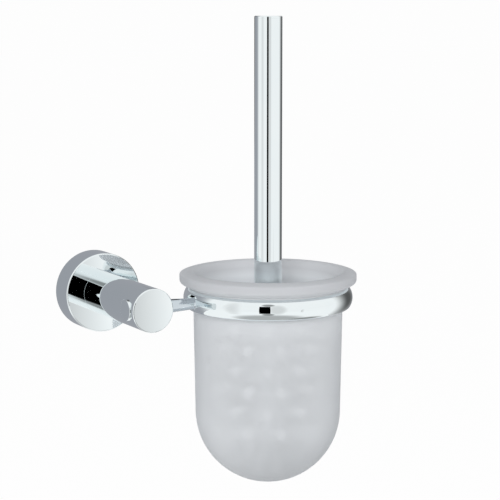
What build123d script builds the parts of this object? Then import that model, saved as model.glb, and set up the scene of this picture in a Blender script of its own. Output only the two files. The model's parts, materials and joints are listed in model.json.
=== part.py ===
from build123d import *
from math import atan2, cos, degrees, isclose, radians, sin, sqrt, tan
import os

# Wall-mounted toilet brush set: a bracket and rosette on the wall, a post that stands out from it, an arm
# with a ring, a glass bowl that hangs in the ring by its rim, and a brush that stands in the bowl.
#
# Millimetres. The origin is the centre of the mounting face, on the wall. +Z is up, -Y points out of the
# wall along the post, and +X points along the arm towards the bowl.

os.makedirs("parts", exist_ok=True)

# --------------------------------------------------------------------------------------------------
# Driving dimensions
# --------------------------------------------------------------------------------------------------

# Rosette: a deep round cover with a thin bright chamfer round its front.
rosette_diameter = 52.4
rosette_depth = 18.7
rosette_wall = 2.3
rosette_front = 3.0
rosette_chamfer = 0.7

# Wall bracket: a round disc inside the rosette, with a 90 degree groove round its edge for the grub screw.
bracket_gap = 0.15
bracket_to_screw = 2.1
wall_screw_hole = 5.2
wall_screw_spacing = 28.0
wall_screw_head = 9.6

# Post: turned bar, hollow behind a solid nose that takes the arm.
post_diameter = 27.9
post_length = 75.5
post_wall = 2.0
post_nose = 24.0
post_chamfer = 0.5
anchor_length = 17.5

# Arm: its axis is set back from the post's end.
arm_setback = 10.75
arm_length = 19.0
arm_root_diameter = 9.0
arm_neck_diameter = 7.2
arm_foot_diameter = 8.4
arm_foot_length = 2.6
arm_foot_seat = 1.3
arm_seat_depth = 0.13
arm_spigot_diameter = 4.4
arm_spigot_length = 2.6
plug_diameter = 13.6
plug_stand = 0.5
plug_length = 4.0
plug_rounding = 0.9
plug_to_screw = 0.5

# Ring: a D section with rounded inner corners and a thin clear liner.
ring_height = 13.2
ring_depth = 5.5
ring_corner = 1.6
ring_crest_rounding = 2.9
liner_wall = 0.5
liner_inset = 1.4

# Bowl: the outer radius falls a little from the neck down to the round bottom.
bowl_neck_radius = 48.9
bowl_taper = 1.3
bowl_body_height = 80.5
bowl_wall = 3.3

# Bowl's rim: a flange whose underside rises at rim_flare degrees from the neck fillet to an upright lip.
# Its top swells by rim_crown from the lip to a crest, and the throat falls from there to the wall.
rim_overhang = 8.8
rim_flare = 22.0
rim_lip_height = 5.8
rim_lip_upper_rounding = 1.2
rim_lip_lower_rounding = 2.5
rim_crown = 1.2
rim_throat_width = 4.7
rim_throat_depth = 6.0
rim_throat_rounding = 4.2
oval_limit = 0.95

# Handle tube.
handle_diameter = 18.0
handle_length = 186.4
handle_wall = 1.0
handle_chamfer = 0.5
cap_plate = 1.6
cap_plug_length = 7.0
insert_length = 22.0
stud_diameter = 10.0
stud_length = 20.0
stud_point = 1.0

# Brush head.
core_radius = 14.5
core_collar_ledge = 2.0
core_collar_height = 3.5
rows = 6
row_pitch = 13.5
row_turn = 12.0
tufts_in_row = 12
last_row_below_spring = 7.1
dome_below_last_row = 5.5
core_above_first_row = 10.0
tuft_root_radius = 1.7
tuft_tip_radius = 3.1
tuft_depth = 5.0
tuft_reach_gap = 1.9
dome_tufts = 10
dome_angle = 30.0
dome_gap = 6.0
foot_tufts = 6
foot_angle = 60.0
foot_gap = 0.8

# Screws.
grub_diameter = 4.0
grub_length = 4.0
grub_inset = 0.25
grub_cone = 1.2
grub_socket = 2.0
grub_socket_depth = 2.0
post_screw_diameter = 6.0
post_screw_engagement = 12.0
post_screw_head = 10.0
post_screw_head_height = 3.3
post_screw_socket = 4.0
arm_screw_diameter = 5.0
arm_screw_engagement = 6.3
arm_screw_head = 8.5
arm_screw_head_height = 3.5
arm_screw_socket = 4.0
socket_depth = 2.0
drill_run = 1.0
drill_cone = 1.0
washer_bore_gap = 0.2
washer_thickness = 1.0
washer_rim = 0.8

# Clearances.
press_gap = 0.02
thread_gap = 0.02
hole_gap = 0.3
glass_gap = 0.3
rest_gap = 0.3

# How far a cutting shape runs on beyond the face it opens.
cut_past = 1.0

# --------------------------------------------------------------------------------------------------
# Places that follow from the dimensions
# --------------------------------------------------------------------------------------------------

rosette_radius = rosette_diameter / 2
rosette_inner = rosette_radius - rosette_wall
rosette_face = rosette_depth
cup_floor = rosette_depth - rosette_front
bracket_thickness = cup_floor - washer_thickness - post_screw_head_height - bracket_to_screw
bracket_radius = rosette_inner - bracket_gap
post_radius = post_diameter / 2
post_end = rosette_face + post_length
post_bore = post_radius - post_wall
post_bore_end = post_end - post_nose
arm_reach = post_end - arm_setback

ring_top = ring_height / 2
liner_inner = bowl_neck_radius + glass_gap
ring_inner = liner_inner + liner_wall
ring_outer = ring_inner + ring_depth
bowl_offset = post_radius + arm_length + ring_outer
bowl_place = Pos(bowl_offset, -arm_reach, 0)

neck_centre_r = ring_inner + ring_corner
neck_centre_z = ring_top - ring_corner
neck_fillet = neck_centre_r - bowl_neck_radius
rim_radius = bowl_neck_radius + rim_overhang
flare_start_r = neck_centre_r - neck_fillet * sin(radians(rim_flare))
flare_start_z = neck_centre_z + neck_fillet * cos(radians(rim_flare))
lip_bottom_z = flare_start_z + (rim_radius - flare_start_r) * tan(radians(rim_flare))
lip_top_z = lip_bottom_z + rim_lip_height
bowl_base_radius = bowl_neck_radius - bowl_taper
bowl_inner_neck = bowl_neck_radius - bowl_wall
bowl_inner_base = bowl_base_radius - bowl_wall
crest_r = bowl_inner_neck + rim_throat_width
rim_top = lip_top_z + rim_crown
throat_z = rim_top - rim_throat_depth
spring_z = neck_centre_z - bowl_body_height
bowl_floor = spring_z - bowl_inner_base
bowl_bottom = spring_z - bowl_base_radius

last_row_z = spring_z - last_row_below_spring
first_row_z = last_row_z + (rows - 1) * row_pitch
core_dome_z = last_row_z - dome_below_last_row
head_top = first_row_z + core_above_first_row
tuft_tip_reach = bowl_inner_base - tuft_reach_gap
handle_radius = handle_diameter / 2
handle_bore = handle_radius - handle_wall
core_collar_radius = handle_radius + core_collar_ledge
handle_top = head_top + handle_length


# --------------------------------------------------------------------------------------------------
# Helpers
# --------------------------------------------------------------------------------------------------

def turned_on_post(outline):
    """Turn a closed (radius, distance from the wall) outline about the post's axis."""
    points = [(radius, -distance) for radius, distance in outline]
    face = make_face(Polyline(*points, close=True))
    return revolve(face, Axis.Y)


def turned_on_arm(outline):
    """Turn a closed (x, radius) outline about the arm's axis."""
    face = make_face(Polyline(*outline, close=True))
    return Pos(0, -arm_reach, 0) * revolve(face, Axis.X)


def turned_on_bowl(outline):
    """Turn a closed (radius, height) outline about the bowl's axis."""
    face = make_face(Plane.XZ * Polyline(*outline, close=True))
    return bowl_place * revolve(face, Axis.Z)


def oval_quarter(centre, reach, rise, tight, side, up):
    """Quarter of an oval made of two tangent arcs, the tight one at the end of the longer half axis.

    centre is (radius, height), reach and rise are its half axes, and side and up are 1 or -1 for the
    quadrant.
    """
    radius, height = centre
    level_start = 0 if side > 0 else 180
    if isclose(reach, rise):
        return [CenterArc(centre, reach, level_start, signed_turn(level_start, 90 * up))]
    tight = min(tight, oval_limit * min(reach, rise))
    if reach > rise:
        broad = (reach ** 2 + rise ** 2 - 2 * reach * tight) / (2 * (rise - tight))
        tight_centre = (radius + side * (reach - tight), height)
        broad_centre = (radius, height + up * (rise - broad))
        tight_start = level_start
        broad_start = 90 * up
    else:
        broad = (reach ** 2 + rise ** 2 - 2 * rise * tight) / (2 * (reach - tight))
        tight_centre = (radius, height + up * (rise - tight))
        broad_centre = (radius + side * (reach - broad), height)
        tight_start = 90 * up
        broad_start = level_start
    across = tight_centre[0] - broad_centre[0]
    along = tight_centre[1] - broad_centre[1]
    join = degrees(atan2(along, across))
    return [
        CenterArc(tight_centre, tight, tight_start, signed_turn(tight_start, join)),
        CenterArc(broad_centre, broad, broad_start, signed_turn(broad_start, join)),
    ]


def signed_turn(start, end):
    """Smallest turn in degrees from one direction to another."""
    return (end - start + 180) % 360 - 180


def hex_prism(across_flats, length):
    """Hexagonal prism on +Z from the origin."""
    return extrude(RegularPolygon(across_flats / 2, 6, major_radius=False), length)


def save(node, shape):
    """Write one node's solids."""
    export_step(shape, f"parts/{node}.step")


# --------------------------------------------------------------------------------------------------
# Wall side
# --------------------------------------------------------------------------------------------------

groove_y = bracket_thickness / 2
grub_radius = grub_diameter / 2
grub_tip_radius = grub_radius - grub_cone
grub_tip_z = rosette_radius - grub_inset - grub_length
groove_root = grub_tip_z - grub_tip_radius - press_gap


def wall_bracket():
    """Disc with a V groove round its edge and two countersunk screw holes in a line."""
    groove_depth = bracket_radius - groove_root
    body = turned_on_post([
        (0, 0),
        (bracket_radius, 0),
        (bracket_radius, groove_y - groove_depth),
        (groove_root, groove_y),
        (bracket_radius, groove_y + groove_depth),
        (bracket_radius, bracket_thickness),
        (0, bracket_thickness),
    ])
    hole_radius = wall_screw_hole / 2
    head_radius = wall_screw_head / 2
    sink = head_radius - hole_radius
    hole = turned_on_post([
        (0, 0),
        (hole_radius, 0),
        (hole_radius, bracket_thickness - sink),
        (head_radius, bracket_thickness),
        (0, bracket_thickness),
    ])
    for side in (-1, 1):
        body -= Pos(side * wall_screw_spacing / 2, 0, 0) * hole
    return body


def rosette():
    """Deep cup with a chamfered front, a hole for the post's screw and a tapped hole underneath."""
    cup = turned_on_post([
        (rosette_inner, 0),
        (rosette_radius, 0),
        (rosette_radius, rosette_face - rosette_chamfer),
        (rosette_radius - rosette_chamfer, rosette_face),
        (post_screw_diameter / 2 + hole_gap, rosette_face),
        (post_screw_diameter / 2 + hole_gap, cup_floor),
        (rosette_inner, cup_floor),
    ])
    tapped = Cylinder(grub_radius + thread_gap, rosette_wall + 2 * cut_past)
    return cup - Pos(0, -groove_y, -rosette_radius + rosette_wall / 2) * tapped


def rosette_grub_screw():
    """Hex socket set screw with a cone point, just below flush in the rosette's underside."""
    face = make_face(Plane.XZ * Polyline(
        (0, 0),
        (grub_radius, 0),
        (grub_radius, grub_length - grub_cone),
        (grub_tip_radius, grub_length),
        (0, grub_length),
        close=True,
    ))
    screw = revolve(face, Axis.Z) - hex_prism(grub_socket, grub_socket_depth)
    return Pos(0, -groove_y, -grub_tip_z - grub_length) * screw


# --------------------------------------------------------------------------------------------------
# Post
# --------------------------------------------------------------------------------------------------

arm_seat_x = sqrt(post_radius ** 2 - (arm_root_diameter / 2) ** 2) - arm_seat_depth
side_hole_radius = plug_diameter / 2 + press_gap
plug_outer_x = -(post_radius + plug_stand)
plug_inner_x = plug_outer_x + plug_length
arm_head_x = plug_inner_x + plug_to_screw
arm_washer_x = arm_head_x + arm_screw_head_height
side_hole_x = arm_washer_x + washer_thickness
arm_screw_end_x = arm_seat_x + arm_screw_engagement


def post():
    """Turned bar: a bore from the back, a side hole for the arm's screw and a seat for the arm."""
    bar = turned_on_post([
        (post_bore, rosette_face),
        (post_radius, rosette_face),
        (post_radius, post_end - post_chamfer),
        (post_radius - post_chamfer, post_end),
        (0, post_end),
        (0, post_bore_end),
        (post_bore, post_bore_end),
    ])
    side_hole = turned_on_arm([
        (-post_radius - cut_past, 0),
        (-post_radius - cut_past, side_hole_radius),
        (side_hole_x, side_hole_radius),
        (side_hole_x, arm_screw_diameter / 2 + hole_gap),
        (arm_seat_x, arm_screw_diameter / 2 + hole_gap),
        (arm_seat_x, arm_root_diameter / 2 + press_gap),
        (post_radius + cut_past, arm_root_diameter / 2 + press_gap),
        (post_radius + cut_past, 0),
    ])
    return bar - side_hole


def post_anchor():
    """Plug pressed into the post's back end, tapped through for the post's screw."""
    tapped = post_screw_diameter / 2 + thread_gap
    outer = post_bore - press_gap
    return turned_on_post([
        (tapped, rosette_face),
        (outer, rosette_face),
        (outer, rosette_face + anchor_length),
        (tapped, rosette_face + anchor_length),
    ])


def post_screw_washer():
    """Flat washer under the head of the post's screw."""
    bore = post_screw_diameter / 2 + washer_bore_gap
    outer = post_screw_head / 2 + washer_rim
    return turned_on_post([
        (bore, cup_floor - washer_thickness),
        (outer, cup_floor - washer_thickness),
        (outer, cup_floor),
        (bore, cup_floor),
    ])


def post_screw():
    """Socket screw from inside the rosette into the post's anchor."""
    seat = cup_floor - washer_thickness
    tip = rosette_face + post_screw_engagement
    radius = post_screw_diameter / 2
    screw = turned_on_post([
        (0, seat - post_screw_head_height),
        (post_screw_head / 2, seat - post_screw_head_height),
        (post_screw_head / 2, seat),
        (radius, seat),
        (radius, tip),
        (0, tip),
    ])
    socket = Rot(90, 0, 0) * hex_prism(post_screw_socket, socket_depth)
    return screw - Pos(0, -(seat - post_screw_head_height), 0) * socket


# --------------------------------------------------------------------------------------------------
# Arm
# --------------------------------------------------------------------------------------------------

ring_face_x = bowl_offset - ring_outer
arm_foot_x = ring_face_x + arm_foot_seat
arm_neck_x = arm_foot_x - arm_foot_length


def support_arm():
    """Tapered arm with a flared foot at the ring, a spigot beyond it and a tapped root."""
    outline = Line((arm_seat_x, 0), (arm_seat_x, arm_root_diameter / 2))
    outline += Line((arm_seat_x, arm_root_diameter / 2), (arm_neck_x, arm_neck_diameter / 2))
    flare_tangent = (arm_neck_x - arm_seat_x, (arm_neck_diameter - arm_root_diameter) / 2)
    outline += TangentArc(
        (arm_neck_x, arm_neck_diameter / 2),
        (arm_foot_x, arm_foot_diameter / 2),
        tangent=flare_tangent,
    )
    outline += Polyline(
        (arm_foot_x, arm_foot_diameter / 2),
        (arm_foot_x, arm_spigot_diameter / 2),
        (arm_foot_x + arm_spigot_length, arm_spigot_diameter / 2),
        (arm_foot_x + arm_spigot_length, 0),
        (arm_seat_x, 0),
    )
    arm = Pos(0, -arm_reach, 0) * revolve(make_face(outline), Axis.X)
    tapped = turned_on_arm([
        (arm_seat_x, 0),
        (arm_seat_x, arm_screw_diameter / 2 + thread_gap),
        (arm_screw_end_x + drill_run, arm_screw_diameter / 2 + thread_gap),
        (arm_screw_end_x + drill_run + drill_cone, 0),
    ])
    return arm - tapped


def arm_screw():
    """Socket screw through the post's nose into the arm's root."""
    radius = arm_screw_diameter / 2
    screw = turned_on_arm([
        (arm_head_x, 0),
        (arm_head_x, arm_screw_head / 2),
        (arm_washer_x, arm_screw_head / 2),
        (arm_washer_x, radius),
        (arm_screw_end_x, radius),
        (arm_screw_end_x, 0),
    ])
    socket = Rot(0, 90, 0) * hex_prism(arm_screw_socket, socket_depth)
    return screw - Pos(arm_head_x, -arm_reach, 0) * socket


def arm_screw_washer():
    """Flat washer on the floor of the side hole."""
    bore = arm_screw_diameter / 2 + washer_bore_gap
    outer = arm_screw_head / 2 + washer_rim
    return turned_on_arm([
        (arm_washer_x, bore),
        (arm_washer_x, outer),
        (side_hole_x, outer),
        (side_hole_x, bore),
    ])


def arm_cap_plug():
    """Round plug that closes the side hole, with a rounded edge that stands just proud of the post."""
    radius = plug_diameter / 2
    outline = Line((plug_outer_x, 0), (plug_outer_x, radius - plug_rounding))
    outline += CenterArc((plug_outer_x + plug_rounding, radius - plug_rounding), plug_rounding, 180, -90)
    outline += Polyline(
        (plug_outer_x + plug_rounding, radius),
        (plug_inner_x, radius),
        (plug_inner_x, 0),
        (plug_outer_x, 0),
    )
    return Pos(0, -arm_reach, 0) * revolve(make_face(outline), Axis.X)


# --------------------------------------------------------------------------------------------------
# Ring
# --------------------------------------------------------------------------------------------------

def support_ring():
    """D-section ring, with a flat seat and a blind hole where the arm's foot enters it."""
    outer_depth = ring_outer - neck_centre_r
    outline = Line((ring_inner, -neck_centre_z), (ring_inner, neck_centre_z))
    outline += CenterArc((neck_centre_r, neck_centre_z), ring_corner, 180, -90)
    for up in (1, -1):
        outline += oval_quarter((neck_centre_r, 0), outer_depth, ring_top, ring_crest_rounding, 1, up)
    outline += CenterArc((neck_centre_r, -neck_centre_z), ring_corner, 270, -90)
    ring = bowl_place * revolve(make_face(Plane.XZ * outline), Axis.Z)
    seat = turned_on_arm([
        (ring_face_x - cut_past, 0),
        (ring_face_x - cut_past, arm_foot_diameter / 2 + press_gap),
        (arm_foot_x, arm_foot_diameter / 2 + press_gap),
        (arm_foot_x, arm_spigot_diameter / 2 + press_gap),
        (arm_foot_x + arm_spigot_length + hole_gap, arm_spigot_diameter / 2 + press_gap),
        (arm_foot_x + arm_spigot_length + hole_gap, 0),
    ])
    return ring - seat


def ring_liner():
    """Clear sleeve inside the ring, whose lip follows the ring's corner under the glass rim."""
    liner_bottom = liner_inset - ring_top
    outline = Line((ring_inner, liner_bottom), (ring_inner, neck_centre_z))
    outline += CenterArc((neck_centre_r, neck_centre_z), ring_corner, 180, -90)
    outline += Line((neck_centre_r, ring_top), (neck_centre_r, ring_top + liner_wall))
    outline += CenterArc((neck_centre_r, neck_centre_z), ring_corner + liner_wall, 90, 90)
    outline += Line((liner_inner, neck_centre_z), (liner_inner, liner_bottom))
    outline += Line((liner_inner, liner_bottom), (ring_inner, liner_bottom))
    return bowl_place * revolve(make_face(Plane.XZ * outline), Axis.Z)


# --------------------------------------------------------------------------------------------------
# Bowl
# --------------------------------------------------------------------------------------------------

def glass_bowl():
    """Glass bowl: round bottom, tapered body, neck fillet, flared flange with an upright lip, throat."""
    lower_centre_r = rim_radius - rim_lip_lower_rounding
    lower_rise = rim_lip_lower_rounding * (1 - sin(radians(rim_flare))) / cos(radians(rim_flare))
    lower_centre_z = lip_bottom_z + lower_rise
    lower_start_r = lower_centre_r + rim_lip_lower_rounding * sin(radians(rim_flare))
    lower_start_z = lower_centre_z - rim_lip_lower_rounding * cos(radians(rim_flare))
    upper_z = lip_top_z - rim_lip_upper_rounding
    swell = rim_crown + rim_lip_upper_rounding
    outline = CenterArc((0, spring_z), bowl_base_radius, 270, 90)
    outline += Line((bowl_base_radius, spring_z), (bowl_neck_radius, neck_centre_z))
    outline += CenterArc((neck_centre_r, neck_centre_z), neck_fillet, 180, rim_flare - 90)
    outline += Line((flare_start_r, flare_start_z), (lower_start_r, lower_start_z))
    lip_start = rim_flare - 90
    outline += CenterArc((lower_centre_r, lower_centre_z), rim_lip_lower_rounding, lip_start, -lip_start)
    outline += Line((rim_radius, lower_centre_z), (rim_radius, upper_z))
    outline += oval_quarter((crest_r, upper_z), rim_radius - crest_r, swell, rim_lip_upper_rounding, 1, 1)
    throat = (crest_r, throat_z)
    outline += oval_quarter(throat, rim_throat_width, rim_throat_depth, rim_throat_rounding, -1, 1)
    outline += Line((bowl_inner_neck, throat_z), (bowl_inner_base, spring_z))
    outline += CenterArc((0, spring_z), bowl_inner_base, 0, -90)
    outline += Line((0, bowl_floor), (0, bowl_bottom))
    return bowl_place * revolve(make_face(Plane.XZ * outline), Axis.Z)


# --------------------------------------------------------------------------------------------------
# Handle
# --------------------------------------------------------------------------------------------------

def handle_tube():
    """Straight tube that stands on the brush head's collar."""
    return turned_on_bowl([
        (handle_bore, head_top),
        (handle_radius, head_top),
        (handle_radius, handle_top - cap_plate),
        (handle_bore, handle_top - cap_plate),
    ])


def handle_end_cap():
    """Flat cap, flush with the tube, on a plug that is pressed into it."""
    plug_radius = handle_bore - press_gap
    return turned_on_bowl([
        (0, handle_top - cap_plate - cap_plug_length),
        (plug_radius, handle_top - cap_plate - cap_plug_length),
        (plug_radius, handle_top - cap_plate),
        (handle_radius, handle_top - cap_plate),
        (handle_radius, handle_top - handle_chamfer),
        (handle_radius - handle_chamfer, handle_top),
        (0, handle_top),
    ])


def handle_insert():
    """Plug in the tube's lower end, with the stud that the brush head screws onto."""
    plug_radius = handle_bore - press_gap
    stud_radius = stud_diameter / 2
    return turned_on_bowl([
        (0, head_top - stud_length),
        (stud_radius - stud_point, head_top - stud_length),
        (stud_radius, head_top - stud_length + stud_point),
        (stud_radius, head_top),
        (plug_radius, head_top),
        (plug_radius, head_top + insert_length),
        (0, head_top + insert_length),
    ])


# --------------------------------------------------------------------------------------------------
# Brush head
# --------------------------------------------------------------------------------------------------

def reach_to_glass(drop_angle, gap):
    """Length from the core's dome centre, at an angle below level, to a gap short of the bowl's bottom."""
    below = spring_z - core_dome_z
    limit = bowl_inner_base - gap
    along = below * sin(radians(drop_angle))
    return sqrt(limit ** 2 - below ** 2 + along ** 2) - along


def ring_places(count, drop_angle, height, turn):
    """Places of a ring of tufts: each one's +Z points out of the core, at an angle below level."""
    step = 360 / count
    return [
        bowl_place * Pos(0, 0, height) * Rot(0, 0, turn + step * index) * Rot(0, 90 + drop_angle, 0)
        for index in range(count)
    ]


tuft_root = core_radius - tuft_depth
row_places = [
    ring_places(tufts_in_row, 0, first_row_z - row * row_pitch, row_turn * (row % 2))
    for row in range(rows)
]
dome_places = ring_places(dome_tufts, dome_angle, core_dome_z, 0)
foot_places = ring_places(foot_tufts, foot_angle, core_dome_z, 0)
nose_places = ring_places(1, 90, core_dome_z, 0)


def tuft(reach):
    """One tuft on +Z: straight in its hole and spreading to its trimmed tip."""
    return revolve(make_face(Plane.XZ * Polyline(
        (0, tuft_root),
        (tuft_root_radius, tuft_root),
        (tuft_root_radius, core_radius),
        (tuft_tip_radius, reach),
        (0, reach),
        close=True,
    )), Axis.Z)


def tufts(places, reach):
    """A node of equal tufts."""
    return Compound([place * tuft(reach) for place in places])


def brush_core():
    """Round-ended core with a collar for the handle, a bore for its stud and a blind hole for each tuft."""
    outline = Polyline(
        (0, head_top),
        (core_collar_radius, head_top),
        (core_collar_radius, head_top - core_collar_height),
        (core_radius, head_top - core_collar_height - (core_radius - core_collar_radius)),
        (core_radius, core_dome_z),
    )
    outline += CenterArc((0, core_dome_z), core_radius, 0, -90)
    outline += Line((0, core_dome_z - core_radius), (0, head_top))
    core = bowl_place * revolve(make_face(Plane.XZ * outline), Axis.Z)
    stud_bore = turned_on_bowl([
        (0, head_top - stud_length - drill_run),
        (stud_diameter / 2 + thread_gap, head_top - stud_length - drill_run),
        (stud_diameter / 2 + thread_gap, head_top),
        (0, head_top),
    ])
    blind_hole = Pos(0, 0, tuft_root) * Cylinder(
        tuft_root_radius + press_gap, tuft_depth + cut_past, align=(Align.CENTER, Align.CENTER, Align.MIN)
    )
    places = dome_places + foot_places + nose_places
    for row in row_places:
        places = places + row
    return core - stud_bore - [place * blind_hole for place in places]


# --------------------------------------------------------------------------------------------------
# Write every node
# --------------------------------------------------------------------------------------------------

save("wall_bracket", wall_bracket())
save("rosette", rosette())
save("rosette_grub_screw", rosette_grub_screw())
save("post", post())
save("post_anchor", post_anchor())
save("post_screw_washer", post_screw_washer())
save("post_screw", post_screw())
save("support_arm", support_arm())
save("arm_screw", arm_screw())
save("arm_screw_washer", arm_screw_washer())
save("arm_cap_plug", arm_cap_plug())
save("support_ring", support_ring())
save("ring_liner", ring_liner())
save("glass_bowl", glass_bowl())
save("handle_tube", handle_tube())
save("handle_end_cap", handle_end_cap())
save("handle_insert", handle_insert())
save("brush_core", brush_core())
for row, places in enumerate(row_places):
    save(f"tuft_row_{row + 1}", tufts(places, tuft_tip_reach))
save(f"tuft_row_{rows + 1}", tufts(dome_places, reach_to_glass(dome_angle, dome_gap)))
save(f"tuft_row_{rows + 2}", tufts(foot_places, reach_to_glass(foot_angle, foot_gap)))
save("tuft_nose", tufts(nose_places, reach_to_glass(90, rest_gap)))
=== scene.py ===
"""Looks of a wall-mounted toilet brush set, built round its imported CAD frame.

Sizes are in millimetres and angles in degrees, and the studio's distances in metres where they say so. Meshes are made
in metres, in the frame's own axes: +Z up, -Y out of the wall along the post, +X along the arm towards the bowl.
"""

import json
import logging
import math
import random
from abc import ABC, abstractmethod
from dataclasses import dataclass, field
from enum import Enum

import bmesh
import bpy
from mathutils import Matrix, Vector

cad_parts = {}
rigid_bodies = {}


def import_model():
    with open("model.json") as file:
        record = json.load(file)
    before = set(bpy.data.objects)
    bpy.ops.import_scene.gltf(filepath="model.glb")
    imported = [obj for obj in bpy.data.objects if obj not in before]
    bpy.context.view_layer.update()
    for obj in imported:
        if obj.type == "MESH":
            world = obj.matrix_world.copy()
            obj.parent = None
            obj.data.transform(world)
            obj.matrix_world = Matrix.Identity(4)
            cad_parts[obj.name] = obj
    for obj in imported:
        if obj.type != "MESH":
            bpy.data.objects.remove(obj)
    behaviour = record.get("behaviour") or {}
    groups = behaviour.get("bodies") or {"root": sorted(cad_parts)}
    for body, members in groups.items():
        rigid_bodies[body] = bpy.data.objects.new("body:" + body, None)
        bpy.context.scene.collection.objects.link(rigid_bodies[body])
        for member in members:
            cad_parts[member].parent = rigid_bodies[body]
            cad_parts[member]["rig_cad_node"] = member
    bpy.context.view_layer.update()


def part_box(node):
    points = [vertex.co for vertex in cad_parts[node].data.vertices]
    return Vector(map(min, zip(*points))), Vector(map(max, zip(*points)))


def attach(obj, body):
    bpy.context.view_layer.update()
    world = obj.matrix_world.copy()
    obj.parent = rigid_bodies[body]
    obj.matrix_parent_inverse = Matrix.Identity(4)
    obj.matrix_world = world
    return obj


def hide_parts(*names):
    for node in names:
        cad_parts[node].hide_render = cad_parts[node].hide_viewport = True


log = logging.getLogger("brush_set")

MM = 0.001
SHARP_ANGLE = math.radians(15)
MERGE_DISTANCE = 0.001 * MM
NOISE_LOW = 0.3
NOISE_HIGH = 0.7
BOWL_AXIS = (88.15, -83.45)
BOWL_SPRING = -75.5

Colour = tuple[float, float, float]
Span = tuple[float, float]
Place = tuple[float, float, float]
Outline = list[Span]
WHITE = (1.0, 1.0, 1.0, 1.0)


class Body(Enum):
    """The frame's three bodies."""

    HOLDER = "holder"
    BOWL = "bowl"
    BRUSH = "brush"


class Slot(Enum):
    """The record's material slots."""

    CHROME_PLATE = "chrome_plate"
    CHROME_TUBE = "chrome_tube"
    CAST_ZINC = "cast_zinc"
    SCREW_STEEL = "screw_steel"
    TURNED_BRASS = "turned_brass"
    FROSTED_GLASS = "frosted_glass"
    CLEAR_SLEEVE = "clear_sleeve"
    INSERT_PLASTIC = "insert_plastic"
    CORE_PLASTIC = "core_plastic"
    BRISTLE_NYLON = "bristle_nylon"


# ---------------------------------------------------------------------------------------------------------------
# Finishes
# ---------------------------------------------------------------------------------------------------------------


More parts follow.
